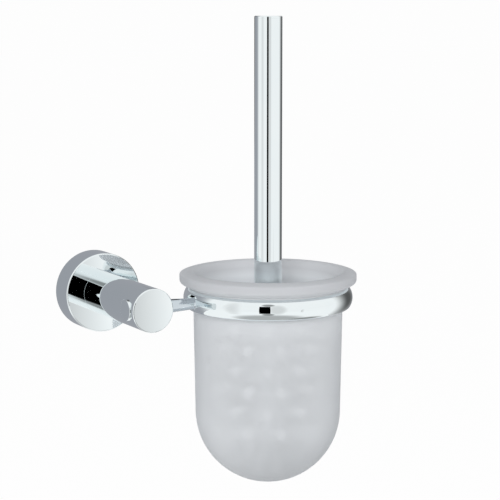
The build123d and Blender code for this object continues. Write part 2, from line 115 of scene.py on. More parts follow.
@dataclass
class Wiring:
    """The node tree of one material while it is wired.

    Attributes:
        tree: The node tree.
    """

    tree: bpy.types.NodeTree

    def add(self, kind: str, inputs: dict[str, object] | None = None, **settings: object) -> bpy.types.Node:
        """Add a node.

        Args:
            kind: The node's type name.
            inputs: Socket names with a constant or with the socket that feeds them.
            settings: Properties of the node itself.

        Returns:
            The new node.
        """
        node = self.tree.nodes.new(kind)
        for name, value in settings.items():
            setattr(node, name, value)
        for name, value in (inputs or {}).items():
            if isinstance(value, bpy.types.NodeSocket):
                self.tree.links.new(value, node.inputs[name])
            else:
                node.inputs[name].default_value = value
        return node

    def noise(self, scale: float, detail: float) -> bpy.types.NodeSocket:
        """Noise on the piece's own coordinates.

        Args:
            scale: Noise scale, in cells per metre.
            detail: Octaves of finer noise.

        Returns:
            The noise's factor socket.
        """
        place = self.add("ShaderNodeTexCoord").outputs["Object"]
        return self.add("ShaderNodeTexNoise", {"Vector": place, "Scale": scale, "Detail": detail}).outputs["Fac"]

    def combine(
        self, operation: str, first: bpy.types.NodeSocket, second: object, **settings: object
    ) -> bpy.types.NodeSocket:
        """Combine two values.

        Args:
            operation: The Math node's operation.
            first: The first value's socket.
            second: The second value, a number or a socket.
            settings: Further properties of the node.

        Returns:
            The result's socket.
        """
        node = self.add("ShaderNodeMath", operation=operation, **settings)
        self.tree.links.new(first, node.inputs[0])
        if isinstance(second, bpy.types.NodeSocket):
            self.tree.links.new(second, node.inputs[1])
        else:
            node.inputs[1].default_value = second
        return node.outputs["Value"]

    def mix(self, share: object, first: bpy.types.NodeSocket, second: bpy.types.NodeSocket) -> bpy.types.NodeSocket:
        """Mix two shaders.

        Args:
            share: Share of the second one, a number or a socket.
            first: The first shader's socket.
            second: The second shader's socket.

        Returns:
            The mixed shader's socket.
        """
        node = self.add("ShaderNodeMixShader", {"Fac": share})
        self.tree.links.new(first, node.inputs[1])
        self.tree.links.new(second, node.inputs[2])
        return node.outputs["Shader"]

    def blend(self, share: bpy.types.NodeSocket, first: object, second: object) -> bpy.types.NodeSocket:
        """Mix two tints.

        Args:
            share: Share of the second one.
            first: The first tint, a colour or a socket.
            second: The second tint, a colour or a socket.

        Returns:
            The mixed tint's socket.
        """
        return self.add("ShaderNodeMixRGB", {"Fac": share, "Color1": first, "Color2": second}).outputs["Color"]

    def ranged(
        self, value: bpy.types.NodeSocket, source: Span, result: tuple[object, object], **settings: object
    ) -> bpy.types.NodeSocket:
        """Map a value from one range onto another, and hold it at the ends.

        Args:
            value: The value's socket.
            source: The range that it is read over.
            result: The values at the two ends, as numbers or sockets.
            settings: Properties of the node itself.

        Returns:
            The mapped value's socket.
        """
        ends = {"From Min": source[0], "From Max": source[1], "To Min": result[0], "To Max": result[1]}
        return self.add("ShaderNodeMapRange", {"Value": value, **ends}, **settings).outputs["Result"]

    def spread(self, factor: bpy.types.NodeSocket, values: Span) -> bpy.types.NodeSocket:
        """Map the middle of a noise onto a range of values."""
        return self.ranged(factor, (NOISE_LOW, NOISE_HIGH), values)

    def ramp(self, factor: bpy.types.NodeSocket, first: Colour, second: Colour, span: Span) -> bpy.types.NodeSocket:
        """Colour ramp between two tints.

        Args:
            factor: What the ramp is read by.
            first: Tint below the span.
            second: Tint above it.
            span: Where the ramp starts and ends.

        Returns:
            The tint's socket.
        """
        node = self.add("ShaderNodeValToRGB", {"Fac": factor})
        for element, tint, position in zip(node.color_ramp.elements, (first, second), span):
            element.position = position
            element.color = (*tint, 1.0)
        return node.outputs["Color"]

    def tint(self, factor: bpy.types.NodeSocket, first: Colour, second: Colour) -> bpy.types.NodeSocket:
        """Colour ramp between two tints across the middle of a noise."""
        return self.ramp(factor, first, second, (NOISE_LOW, NOISE_HIGH))

    def seen(self, share: float) -> bpy.types.NodeSocket:
        """A share for rays from the camera, from polished surfaces and through glass, and 0 for the rest.

        Args:
            share: The share for those rays.

        Returns:
            The share's socket.
        """
        path = self.add("ShaderNodeLightPath")
        seen = path.outputs["Is Camera Ray"]
        for ray in ("Is Glossy Ray", "Is Transmission Ray"):
            seen = self.combine("MAXIMUM", seen, path.outputs[ray])
        return self.combine("MULTIPLY", seen, share)

    def bump(self, height: bpy.types.NodeSocket, strength: float, depth: float) -> bpy.types.NodeSocket:
        """Bump normal of a height, with its full depth in millimetres."""
        node = self.add("ShaderNodeBump", {"Height": height, "Strength": strength, "Distance": depth * MM})
        return node.outputs["Normal"]

    def from_centre(self, centre: Place, scale: Place = (1.0, 1.0, 1.0)) -> bpy.types.NodeSocket:
        """Place on the piece, counted in metres from a centre in millimetres.

        Args:
            centre: The centre.
            scale: Scale of each axis, 0 to leave it out.

        Returns:
            The place's socket.
        """
        place = self.add("ShaderNodeTexCoord").outputs["Object"]
        shift = tuple(-along * MM for along in centre)
        return self.add("ShaderNodeMapping", {"Vector": place, "Location": shift, "Scale": scale}).outputs["Vector"]

    def length(self, vector: bpy.types.NodeSocket) -> bpy.types.NodeSocket:
        """Length of a vector."""
        return self.add("ShaderNodeVectorMath", {"Vector": vector}, operation="LENGTH").outputs["Value"]


def blank_material(name: str) -> tuple[bpy.types.Material, Wiring]:
    """Make a material with nothing in its node tree.

    Args:
        name: The material's name.

    Returns:
        The material and its wiring.
    """
    made = bpy.data.materials.new(name)
    made.use_nodes = True
    made.node_tree.nodes.clear()
    return made, Wiring(made.node_tree)


class Finish(ABC):
    """A surface finish that makes one Blender material.

    Attributes:
        slot: The record's slot.
        kind: Last part of the material's name.
    """

    slot: Slot
    kind: str = "finish"

    def material(self) -> bpy.types.Material:
        """Make the finish's material, once.

        Returns:
            The material, which every piece with this finish shares.
        """
        name = f"{self.slot.value}_{self.kind}"
        made = bpy.data.materials.get(name)
        if made is None:
            made, wiring = blank_material(name)
            ends = {"Surface": self.shader(wiring)}
            depth = self.depth(wiring)
            if depth is not None:
                ends["Volume"] = depth
            wiring.add("ShaderNodeOutputMaterial", ends)
        return made

    @abstractmethod
    def shader(self, wiring: Wiring) -> bpy.types.NodeSocket:
        """Wire the finish's surface.

        Args:
            wiring: The material's node tree.

        Returns:
            The shader's socket.
        """

    def depth(self, wiring: Wiring) -> bpy.types.NodeSocket | None:
        """Wire what light meets inside the piece, or return None."""
        return None


@dataclass(frozen=True)
class Chrome(Finish):
    """Polished chrome plate, with the faint cloudiness that handling leaves.

    Attributes:
        slot: The record's slot.
        tint: Its tint.
        clouded_tint: Its tint where it is cloudy.
        gloss: Least and most roughness.
        cloud_scale: Scale of the clouds, in cells per metre.
        kind: Last part of the material's name.
    """

    slot: Slot = Slot.CHROME_PLATE
    tint: Colour = (0.825, 0.885, 0.90)
    clouded_tint: Colour = (0.85, 0.90, 0.91)
    gloss: Span = (0.008, 0.02)
    cloud_scale: float = 38.0
    kind: str = "finish"

    def shader(self, wiring: Wiring) -> bpy.types.NodeSocket:
        """Wire a metal whose tint and gloss drift a little over the surface.

        Args:
            wiring: The material's node tree.

        Returns:
            The shader's socket.
        """
        clouds = wiring.noise(scale=self.cloud_scale, detail=4.0)
        inputs = {
            "Base Color": wiring.tint(clouds, self.tint, self.clouded_tint),
            "Metallic": 1.0,
            "Roughness": wiring.spread(clouds, self.gloss),
        }
        return wiring.add("ShaderNodeBsdfPrincipled", inputs).outputs["BSDF"]


@dataclass(frozen=True)
class PlainMetal(Finish):
    """Unpolished metal: cast, turned or plated.

    Attributes:
        slot: The record's slot.
        tint: Its tint.
        worn_tint: Its tint in places.
        gloss: Least and most roughness.
        grain_scale: Scale of the grain, in cells per metre.
        grain_depth: Its depth.
        grain_strength: Strength of its bump.
    """

    slot: Slot
    tint: Colour
    worn_tint: Colour
    gloss: Span
    grain_scale: float
    grain_depth: float
    grain_strength: float = 0.3

    def shader(self, wiring: Wiring) -> bpy.types.NodeSocket:
        """Wire a metal with a fine grain in its tint, gloss and height.

        Args:
            wiring: The material's node tree.

        Returns:
            The shader's socket.
        """
        grain = wiring.noise(scale=self.grain_scale, detail=6.0)
        inputs = {
            "Base Color": wiring.tint(grain, self.tint, self.worn_tint),
            "Metallic": 1.0,
            "Roughness": wiring.spread(grain, self.gloss),
            "Normal": wiring.bump(grain, self.grain_strength, self.grain_depth),
        }
        return wiring.add("ShaderNodeBsdfPrincipled", inputs).outputs["BSDF"]


@dataclass(frozen=True)
class SatinGlass(Finish):
    """Acid-frosted glass: it passes light, blurs what stands behind it and looks milky and grey where it is thick.

    Attributes:
        slot: The record's slot.
        tint: Tint of the clear glass, seen straight on.
        slant_shade_tint: Its tint at a slant: painted shade that darkens the glass towards its outline.
        edge_start: Slant at which the tint starts to change, from 0 straight on to 1 edge on.
        milk: Colour of the milky layer on the body.
        milk_drift: How much brighter it gets in places.
        rim_milk: Its colour on the rim.
        body_milkiness: Share of the milky layer outside, on the body.
        rim_milkiness: Its share outside, on the rim.
        inner_milkiness: Its share inside, at the rim; the body's inside is clear.
        gloss: Least and most roughness.
        bend: Index of refraction.
        body: Tint that the glass takes on with its thickness.
        density: How soon it takes it on, per metre.
        far_light: Share of the milky layer's light that comes from the wall's far side.
        light_through: Share of the room's light that reaches what stands inside.
        inside: Distance from the body's middle below which a face is an inside one.
        outside: Distance above which it is an outside one.
        drift_scale: Scale of its slow changes, in cells per metre.
        grain_scale: Scale of the etched grain, in cells per metre.
        grain_strength: Strength of its bump.
        grain_depth: Its depth.
        outer_band: Heights between which the outside turns from body to rim.
        inner_band: Heights between which the inside turns milky.
        tint_band: Heights between which the milky layer takes on the rim's colour; below them the body's lighter
            colour is painted light on the flange, where the lip shades it.
    """

    slot: Slot = Slot.FROSTED_GLASS
    tint: Colour = (0.97, 0.975, 0.98)
    slant_shade_tint: Colour = (0.62, 0.65, 0.67)
    edge_start: float = 0.55
    milk: Colour = (0.82, 0.84, 0.865)
    milk_drift: float = 1.03
    rim_milk: Colour = (0.655, 0.665, 0.69)
    body_milkiness: float = 0.72
    rim_milkiness: float = 0.85
    inner_milkiness: float = 0.85
    gloss: Span = (0.29, 0.33)
    bend: float = 1.45
    body: Colour = (0.30, 0.33, 0.345)
    density: float = 40.0
    far_light: float = 0.5
    light_through: float = 0.93
    inside: float = 46.2
    outside: float = 47.0
    drift_scale: float = 22.0
    grain_scale: float = 2600.0
    grain_strength: float = 0.25
    grain_depth: float = 0.02
    outer_band: Span = (2.0, 8.0)
    inner_band: Span = (-22.0, -2.0)
    tint_band: Span = (7.0, 12.0)

    def shader(self, wiring: Wiring) -> bpy.types.NodeSocket:
        """Wire rough glass mixed with a milky layer that scatters light through the wall.

        Args:
            wiring: The material's node tree.

        Returns:
            The shader's socket.
        """
        drift = wiring.noise(scale=self.drift_scale, detail=2.0)
        grain = wiring.noise(scale=self.grain_scale, detail=2.0)
        normal = wiring.bump(grain, self.grain_strength, self.grain_depth)
        place = wiring.from_centre((*BOWL_AXIS, BOWL_SPRING))
        clear = self.clear(wiring, drift, normal)
        milky = self.milky(wiring, place, drift, normal)
        mixed = wiring.mix(self.frosting(wiring, place), clear, milky)
        open_way = wiring.add("ShaderNodeBsdfTransparent", {"Color": (*self.tint, 1.0)}).outputs["BSDF"]
        return wiring.mix(self.passing(wiring), mixed, open_way)

    def clear(
        self, wiring: Wiring, drift: bpy.types.NodeSocket, normal: bpy.types.NodeSocket
    ) -> bpy.types.NodeSocket:
        """Wire the rough glass, with painted shade that darkens it at a slant.

        Args:
            wiring: The material's node tree.
            drift: Slow noise that varies the gloss.
            normal: Normal of the etched grain.

        Returns:
            The shader's socket.
        """
        # Painted shade: the glass's tint darkens as its surface turns edge on to the view.
        slant = wiring.add("ShaderNodeLayerWeight", {"Blend": 0.5}).outputs["Facing"]
        inputs = {
            "Base Color": wiring.ramp(slant, self.tint, self.slant_shade_tint, (self.edge_start, 1.0)),
            "Transmission Weight": 1.0,
            "IOR": self.bend,
            "Roughness": wiring.spread(drift, self.gloss),
            "Normal": normal,
        }
        return wiring.add("ShaderNodeBsdfPrincipled", inputs).outputs["BSDF"]

    def milky(
        self,
        wiring: Wiring,
        place: bpy.types.NodeSocket,
        drift: bpy.types.NodeSocket,
        normal: bpy.types.NodeSocket,
    ) -> bpy.types.NodeSocket:
        """Wire the milky layer, which scatters light from both sides of the wall.

        Args:
            wiring: The material's node tree.
            place: Place from the middle of the bowl's round bottom.
            drift: Slow noise that varies the tint.
            normal: Normal of the etched grain.

        Returns:
            The shader's socket.
        """
        bright = tuple(channel * self.milk_drift for channel in self.milk)
        height = wiring.add("ShaderNodeSeparateXYZ", {"Vector": place}).outputs["Z"]
        # Painted light: the body's lighter colour reaches up under the lip, where the lip shades the flange.
        on_rim = self.upward(wiring, height, self.tint_band, (0.0, 1.0))
        colour = wiring.blend(on_rim, wiring.tint(drift, self.milk, bright), (*self.rim_milk, 1.0))
        face = wiring.add("ShaderNodeBsdfDiffuse", {"Color": colour, "Normal": normal}).outputs["BSDF"]
        through = wiring.add("ShaderNodeBsdfTranslucent", {"Color": colour, "Normal": normal}).outputs["BSDF"]
        return wiring.mix(self.far_light, face, through)

    def passing(self, wiring: Wiring) -> bpy.types.NodeSocket:
        """Share of the lamps' and the room's light that goes through the wall onto what stands inside.

        Args:
            wiring: The material's node tree.

        Returns:
            The share's socket.
        """
        path = wiring.add("ShaderNodeLightPath")
        soft = wiring.combine("MAXIMUM", path.outputs["Is Shadow Ray"], path.outputs["Is Diffuse Ray"])
        return wiring.combine("MULTIPLY", soft, self.light_through)

    def frosting(self, wiring: Wiring, place: bpy.types.NodeSocket) -> bpy.types.NodeSocket:
        """Share of the milky layer: more on the rim than on the body, inside only near the rim, whole in a mirror.

        Args:
            wiring: The material's node tree.
            place: Place from the middle of the bowl's round bottom.

        Returns:
            The share's socket.
        """
        parts = wiring.add("ShaderNodeSeparateXYZ", {"Vector": place})
        below = wiring.combine("MINIMUM", parts.outputs["Z"], 0.0)
        from_middle = wiring.add(
            "ShaderNodeCombineXYZ", {"X": parts.outputs["X"], "Y": parts.outputs["Y"], "Z": below}
        )
        away = wiring.length(from_middle.outputs["Vector"])
        outer = wiring.ranged(away, (self.inside * MM, self.outside * MM), (0.0, 1.0))
        outside = self.upward(wiring, parts.outputs["Z"], self.outer_band, (self.body_milkiness, self.rim_milkiness))
        inside = self.upward(wiring, parts.outputs["Z"], self.inner_band, (0.0, self.inner_milkiness))
        share = wiring.ranged(outer, (0.0, 1.0), (inside, outside))
        path = wiring.add("ShaderNodeLightPath")
        in_mirror = wiring.combine(
            "SUBTRACT", path.outputs["Is Glossy Ray"], path.outputs["Is Transmission Ray"], use_clamp=True
        )
        return wiring.combine("MAXIMUM", share, in_mirror)

    def upward(
        self, wiring: Wiring, height: bpy.types.NodeSocket, band: Span, shares: Span
    ) -> bpy.types.NodeSocket:
        """A share that changes with height.

        Args:
            wiring: The material's node tree.
            height: Height above the middle of the bowl's round bottom.
            band: Heights in the frame between which it changes.
            shares: Its values below and above them.

        Returns:
            The share's socket.
        """
        return wiring.ranged(height, tuple((level - BOWL_SPRING) * MM for level in band), shares)

    def depth(self, wiring: Wiring) -> bpy.types.NodeSocket | None:
        """Wire the grey that the glass takes on where it is thick."""
        absorbed = wiring.add("ShaderNodeVolumeAbsorption", {"Color": (*self.body, 1.0), "Density": self.density})
        return absorbed.outputs["Volume"]


@dataclass(frozen=True)
class SoftPlastic(Finish):
    """Moulded plastic, clear, white or grey, with a faint moulding texture.

    Attributes:
        slot: The record's slot.
        tint: Its tint.
        shaded_tint: Its tint in places.
        gloss: Least and most roughness.
        clearness: Share of light that it passes.
        bend: Index of refraction.
        drift_scale: Scale of its slow changes, in cells per metre.
        texture_scale: Scale of the texture, in cells per metre.
        texture_strength: Strength of its bump.
        texture_depth: Its depth.
    """

    slot: Slot
    tint: Colour
    shaded_tint: Colour
    gloss: Span
    clearness: float = 0.0
    bend: float = 1.48
    drift_scale: float = 45.0
    texture_scale: float = 900.0
    texture_strength: float = 0.2
    texture_depth: float = 0.02

    def shader(self, wiring: Wiring) -> bpy.types.NodeSocket:
        """Wire a plastic that passes light by its clearness.

        Args:
            wiring: The material's node tree.

        Returns:
            The shader's socket.
        """
        texture = wiring.noise(scale=self.texture_scale, detail=3.0)
        drift = wiring.noise(scale=self.drift_scale, detail=2.0)
        inputs = {
            "Base Color": wiring.tint(drift, self.tint, self.shaded_tint),
            "Roughness": wiring.spread(drift, self.gloss),
            "Transmission Weight": self.clearness,
            "IOR": self.bend,
            "Normal": wiring.bump(texture, self.texture_strength, self.texture_depth),
        }
        return wiring.add("ShaderNodeBsdfPrincipled", inputs).outputs["BSDF"]


@dataclass(frozen=True)
class Nylon(Finish):
    """White nylon filament, slightly see-through.

    Attributes:
        slot: The record's slot.
        tint: Its tint.
        shaded_tint: Its tint in streaks.
        painted_root_shade: Painted shade at the roots, a greyer tint that stands in for the tufts shading each other
            there.
        gloss: Least and most roughness.
        bend: Index of refraction.
        root: Distance from the brush's axis up to which it has that painted shade.
        tip: Distance from which it is its own tint.
        streak_scale: Scale of the streaks, in cells per metre.
        glow: Share of light that comes through from behind.
    """

    slot: Slot = Slot.BRISTLE_NYLON
    tint: Colour = (0.93, 0.935, 0.94)
    shaded_tint: Colour = (0.97, 0.97, 0.975)
    painted_root_shade: Colour = (0.52, 0.54, 0.55)
    gloss: Span = (0.35, 0.5)
    bend: float = 1.53
    root: float = 16.0
    tip: float = 34.0
    streak_scale: float = 420.0
    glow: float = 0.5

    def shader(self, wiring: Wiring) -> bpy.types.NodeSocket:
        """Wire a soft white plastic with painted shade that greys it towards the roots, with light passing through
        thin filaments.

        Args:
            wiring: The material's node tree.

        Returns:
            The shader's socket.
        """
        streaks = wiring.noise(scale=self.streak_scale, detail=2.0)
        away = wiring.length(wiring.from_centre((*BOWL_AXIS, 0.0), scale=(1.0, 1.0, 0.0)))
        outward = wiring.ranged(away, (self.root * MM, self.tip * MM), (0.0, 1.0))
        ends = wiring.tint(streaks, self.tint, self.shaded_tint)
        # Painted shade: the filaments turn greyer towards the roots, where the tufts would shade each other.
        colour = wiring.blend(outward, (*self.painted_root_shade, 1.0), ends)
        inputs = {"Base Color": colour, "Roughness": wiring.spread(streaks, self.gloss), "IOR": self.bend}
        solid = wiring.add("ShaderNodeBsdfPrincipled", inputs).outputs["BSDF"]
        through = wiring.add("ShaderNodeBsdfTranslucent", {"Color": colour}).outputs["BSDF"]
        return wiring.mix(self.glow, solid, through)


PLATE = Chrome()
TUBE = Chrome(slot=Slot.CHROME_TUBE)
# Painted shade: the arm faces a darker side of the room than the cards give it, so its plate is tinted darker instead
# of mirroring darker surroundings.
ARM_PLATE_PAINTED_SHADE = Chrome(tint=(0.60, 0.665, 0.71), clouded_tint=(0.64, 0.70, 0.74), kind="arm_painted_shade")
ZINC = PlainMetal(Slot.CAST_ZINC, (0.50, 0.51, 0.53), (0.60, 0.61, 0.62), (0.45, 0.6), 700.0, 0.06)
STEEL = PlainMetal(Slot.SCREW_STEEL, (0.56, 0.56, 0.57), (0.66, 0.66, 0.66), (0.25, 0.4), 1500.0, 0.02)
BRASS = PlainMetal(Slot.TURNED_BRASS, (0.74, 0.57, 0.27), (0.82, 0.66, 0.36), (0.22, 0.36), 1200.0, 0.02)
GLASS = SatinGlass()
SLEEVE = SoftPlastic(Slot.CLEAR_SLEEVE, (0.66, 0.68, 0.70), (0.70, 0.72, 0.74), (0.3, 0.4), clearness=0.3)
INSERT = SoftPlastic(Slot.INSERT_PLASTIC, (0.76, 0.76, 0.76), (0.82, 0.82, 0.82), (0.4, 0.55))
# The core's dark grey is painted shade for the deep gaps between the tufts.
CORE_PAINTED_SHADE = SoftPlastic(Slot.CORE_PLASTIC, (0.34, 0.35, 0.36), (0.40, 0.41, 0.42), (0.35, 0.5))
NYLON = Nylon()


# ---------------------------------------------------------------------------------------------------------------
# Making pieces
# ---------------------------------------------------------------------------------------------------------------


def arc(centre: Span, radius: float, start: float, turn: float, steps: int) -> Outline:
    """Points along an arc in a (radius, height) plane.

    Args:
        centre: The arc's centre.
        radius: The arc's radius.
        start: Direction of its first point from the centre, counted from outwards towards up.
        turn: Turn from the first point to the last, positive towards up.
        steps: Number of equal steps.

    Returns:
        The points, both ends included.
    """
    angles = [math.radians(start + turn * step / steps) for step in range(steps + 1)]
    return [(centre[0] + radius * math.cos(a), centre[1] + radius * math.sin(a)) for a in angles]


def oval_quarter(
    centre: Span, reach: float, rise: float, tight: float, side: int, up: int, steps: int
) -> Outline:
    """Points of a quarter of an oval made of two tangent arcs, from its level end to its upright end.

    Args:
        centre: The oval's centre.
        reach: Its level half axis.
        rise: Its upright half axis.
        tight: Radius of the arc at the end of the longer half axis.
        side: 1 for the outer half, -1 for the inner one.
        up: 1 for the upper half, -1 for the lower one.
        steps: Steps on each arc.

    Returns:
        The points, both ends included.
    """
    radius, height = centre
    level = 0.0 if side > 0 else 180.0
    upright = 90.0 * up
    if reach > rise:
        broad = (reach**2 + rise**2 - 2 * reach * tight) / (2 * (rise - tight))
        level_arc = ((radius + side * (reach - tight), height), tight)
        upright_arc = ((radius, height + up * (rise - broad)), broad)
    else:
        broad = (reach**2 + rise**2 - 2 * rise * tight) / (2 * (reach - tight))
        level_arc = ((radius + side * (reach - broad), height), broad)
        upright_arc = ((radius, height + up * (rise - tight)), tight)
    small, large = (level_arc, upright_arc) if reach > rise else (upright_arc, level_arc)
    join = math.degrees(math.atan2(small[0][1] - large[0][1], small[0][0] - large[0][0]))
    first_turn = (join - level + 180) % 360 - 180
    second_turn = (upright - join + 180) % 360 - 180
    first = arc(*level_arc, level, first_turn, steps)
    return first + arc(*upright_arc, join, second_turn, steps)[1:]


def finish_mesh(name: str, bm: bmesh.types.BMesh, sharp_angle: float = SHARP_ANGLE) -> bpy.types.Object:
    """Turn a bmesh into a smooth object whose sharp edges stay sharp.

    Args:
        name: The object's name.
        bm: The mesh, which is freed.
        sharp_angle: Angle between two faces above which their edge stays sharp.

    Returns:
        The object, at the origin, with its place in its mesh.
    """
    for face in bm.faces:
        face.smooth = True
    for edge in bm.edges:
        edge.smooth = edge.calc_face_angle(0.0) < sharp_angle
    mesh = bpy.data.meshes.new(name)
    bm.to_mesh(mesh)
    bm.free()
    made = bpy.data.objects.new(name, mesh)
    bpy.context.scene.collection.objects.link(made)
    return made


def dress(piece: bpy.types.Object, finish: Finish, body: Body, node: str) -> None:
    """Give a piece its finish, its body and the CAD node that it stands for.

    Args:
        piece: The piece.
        finish: Its finish.
        body: The body that it rides on.
        node: The CAD node that it replaces.
    """
    piece.data.materials.append(finish.material())
    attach(piece, body.value)
    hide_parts(node)
    log.info("%s stands for %s on the %s", piece.name, node, body.value)


def cad_nodes() -> dict[str, bpy.types.Object]:
    """The frame's CAD nodes by name."""
    return {item["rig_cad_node"]: item for item in bpy.context.scene.objects if "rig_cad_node" in item}


def dress_node(node: str, finish: Finish) -> None:
    """Give a CAD node that stays as it is its finish.

    Args:
        node: The node's name.
        finish: Its finish.
    """
    mesh = cad_nodes()[node].data
    mesh.materials.clear()
    mesh.materials.append(finish.material())
    log.info("%s stays as it is", node)


@dataclass(frozen=True)
class Lathe:
    """An axis that pieces are turned about.

    Attributes:
        place: Matrix from an upright axis through the origin to this one.
        steps: Faces round a full turn.
    """

    place: Matrix
    steps: int = 192

    def turn(self, name: str, outline: Outline, edge: float = 0.0, segments: int = 1) -> bpy.types.Object:
        """Turn a closed outline.

        Args:
            name: The object's name.
            outline: (radius, height) points in millimetres; two ends on the axis are left open.
            edge: Width that its sharp edges are broken by, or 0.
            segments: Faces across a broken edge.

        Returns:
            The turned object.
        """
        bm = bmesh.new()
        corners = [bm.verts.new((radius * MM, 0.0, height * MM)) for radius, height in outline]
        pairs = list(zip(corners, corners[1:]))
        if outline[0][0] > 0 or outline[-1][0] > 0:
            pairs.append((corners[-1], corners[0]))
        edges = [bm.edges.new(pair) for pair in pairs]
        bmesh.ops.spin(
            bm, geom=corners + edges, cent=(0, 0, 0), axis=(0, 0, 1), angle=math.tau, steps=self.steps, use_merge=True
        )
        bmesh.ops.remove_doubles(bm, verts=bm.verts, dist=MERGE_DISTANCE)
        bmesh.ops.recalc_face_normals(bm, faces=bm.faces)
        if edge > 0:
            sharp = [e for e in bm.edges if e.calc_face_angle(0.0) > SHARP_ANGLE]
            bmesh.ops.bevel(
                bm, geom=sharp, offset=edge * MM, segments=segments, profile=0.5, affect="EDGES", material=-1
            )
        bmesh.ops.transform(bm, matrix=self.place, verts=bm.verts)
        return finish_mesh(name, bm)


@dataclass(frozen=True)
class Lathes:
    """The three axes that the set's pieces are turned about.

    Attributes:
        post: The axis of the rosette and the post.
        arm: The axis of the arm and the side cap.
        bowl: The axis of the ring, bowl and brush.
    """

    post: Lathe
    arm: Lathe
    bowl: Lathe

    @classmethod
    def from_frame(cls) -> "Lathes":
        """Find the axes from the CAD nodes' own places.

        Returns:
            The three axes.
        """
        low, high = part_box("glass_bowl")
        bowl_axis = Vector(((low.x + high.x) / 2, (low.y + high.y) / 2, 0.0))
        out_of_wall = Matrix.Rotation(math.radians(90), 4, "X")
        along_arm = Matrix.Rotation(math.radians(90), 4, "Y")
        return cls(
            post=Lathe(out_of_wall),
            arm=Lathe(Matrix.Translation((0.0, bowl_axis.y, 0.0)) @ along_arm, steps=96),
            bowl=Lathe(Matrix.Translation(bowl_axis), steps=256),
        )


# ---------------------------------------------------------------------------------------------------------------
# Holder
# ---------------------------------------------------------------------------------------------------------------


@dataclass
class WallRosette:
    """The round cover on the wall, with the bracket and the grub screw behind it.

    Attributes:
        diameter: The cover's diameter.
        depth: How far it stands out of the wall.
        wall: Thickness of its side.
        front: Thickness of its face.
        chamfer: Chamfer round its face.
        screw_hole: Diameter of the hole for the post's screw.
        edge: Width that its sharp edges are broken by.
    """

    diameter: float = 52.4
    depth: float = 18.7
    wall: float = 2.3
    front: float = 3.0
    chamfer: float = 0.7
    screw_hole: float = 6.6
    edge: float = 0.08

    def build(self, lathe: Lathe) -> None:
        """Turn the cover and dress the pieces inside it.

        Args:
            lathe: The post's axis.
        """
        radius = self.diameter / 2
        inner = radius - self.wall
        floor = self.depth - self.front
        outline = [
            (inner, 0.0),
            (radius, 0.0),
            (radius, self.depth - self.chamfer),
            (radius - self.chamfer, self.depth),
            (self.screw_hole / 2, self.depth),
            (self.screw_hole / 2, floor),
            (inner, floor),
        ]
        cover = lathe.turn("rosette_cover", outline, edge=self.edge)
        dress(cover, PLATE, Body.HOLDER, "rosette")
        dress_node("wall_bracket", ZINC)
        dress_node("rosette_grub_screw", STEEL)


@dataclass
class Post:
    """The turned post, its cap and the fixings inside it.

    Attributes:
        start: Distance of its back end from the wall.
        end: Distance of its flat front.
        diameter: Its diameter.
        wall: Thickness of its side.
        nose: Length of its solid front.
        chamfer: Chamfer round its front.
        edge: Width that its sharp edges are broken by.
        cap_diameter: The side cap's diameter.
        cap_outer: Distance of the cap's face from the post's axis.
        cap_inner: Distance of its back.
        cap_rounding: Rounding of its edge.
    """

    start: float = 18.7
    end: float = 94.2
    diameter: float = 27.9
    wall: float = 2.0
    nose: float = 24.0
    chamfer: float = 0.5
    edge: float = 0.14
    cap_diameter: float = 13.6
    cap_outer: float = 14.45
    cap_inner: float = 10.45
    cap_rounding: float = 0.3

    def build(self, lathes: Lathes) -> None:
        """Turn the post and its cap, and dress the fixings.

        Args:
            lathes: The set's axes.
        """
        radius = self.diameter / 2
        bore = radius - self.wall
        outline = [
            (bore, self.start),
            (radius, self.start),
            (radius, self.end - self.chamfer),
            (radius - self.chamfer, self.end),
            (0.0, self.end),
            (0.0, self.end - self.nose),
            (bore, self.end - self.nose),
        ]
        bar = lathes.post.turn("post_bar", outline, edge=self.edge)
        dress(bar, PLATE, Body.HOLDER, "post")
        self.build_cap(lathes.arm)
        dress_node("post_anchor", BRASS)
        for node in ("post_screw", "post_screw_washer", "arm_screw", "arm_screw_washer"):
            dress_node(node, STEEL)

    def build_cap(self, lathe: Lathe) -> None:
        """Turn the round cap that closes the post's side hole.

        Args:
            lathe: The arm's axis.
        """
        radius = self.cap_diameter / 2
        rounding = self.cap_rounding
        edge = arc((radius - rounding, -self.cap_outer + rounding), rounding, -90, 90, 10)
        outline = [(0.0, -self.cap_outer), *edge, (radius, -self.cap_inner), (0.0, -self.cap_inner)]
        cap = lathe.turn("arm_cap", outline)
        dress(cap, PLATE, Body.HOLDER, "arm_cap_plug")


@dataclass
class SupportArm:
    """The tapered arm from the post to the ring.

    Attributes:
        root: Distance of its root from the post's axis.
        neck: Distance of its thinnest place.
        foot: Distance of its foot, at the ring.
        root_diameter: Its diameter at the root.
        neck_diameter: Its diameter at the neck.
        foot_diameter: Its diameter at the foot.
        spigot_diameter: Diameter of the spigot that goes into the ring.
        spigot_length: The spigot's length.
        flare_steps: Steps of the flare from neck to foot.
    """

    root: float = 13.07
    neck: float = 31.65
    foot: float = 34.25
    root_diameter: float = 9.0
    neck_diameter: float = 7.2
    foot_diameter: float = 8.4
    spigot_diameter: float = 4.4
    spigot_length: float = 2.6
    flare_steps: int = 8

    def build(self, lathe: Lathe) -> None:
        """Turn the arm with its flared foot.

        Args:
            lathe: The arm's axis.
        """
        outline: Outline = [(0.0, self.root), (self.root_diameter / 2, self.root)]
        taper = (self.neck_diameter - self.root_diameter) / 2 / (self.neck - self.root)
        flare = (self.foot_diameter - self.neck_diameter) / 2
        for step in range(self.flare_steps + 1):
            share = step / self.flare_steps
            along = (self.foot - self.neck) * share
            sweep = flare * share**2 + taper * along * (1 - share)
            outline.append((self.neck_diameter / 2 + sweep, self.neck + along))
        spigot_end = self.foot + self.spigot_length
        outline += [
            (self.spigot_diameter / 2, self.foot),
            (self.spigot_diameter / 2, spigot_end),
            (0.0, spigot_end),
        ]
        arm = lathe.turn("arm_bar", outline)
        dress(arm, ARM_PLATE_PAINTED_SHADE, Body.HOLDER, "support_arm")


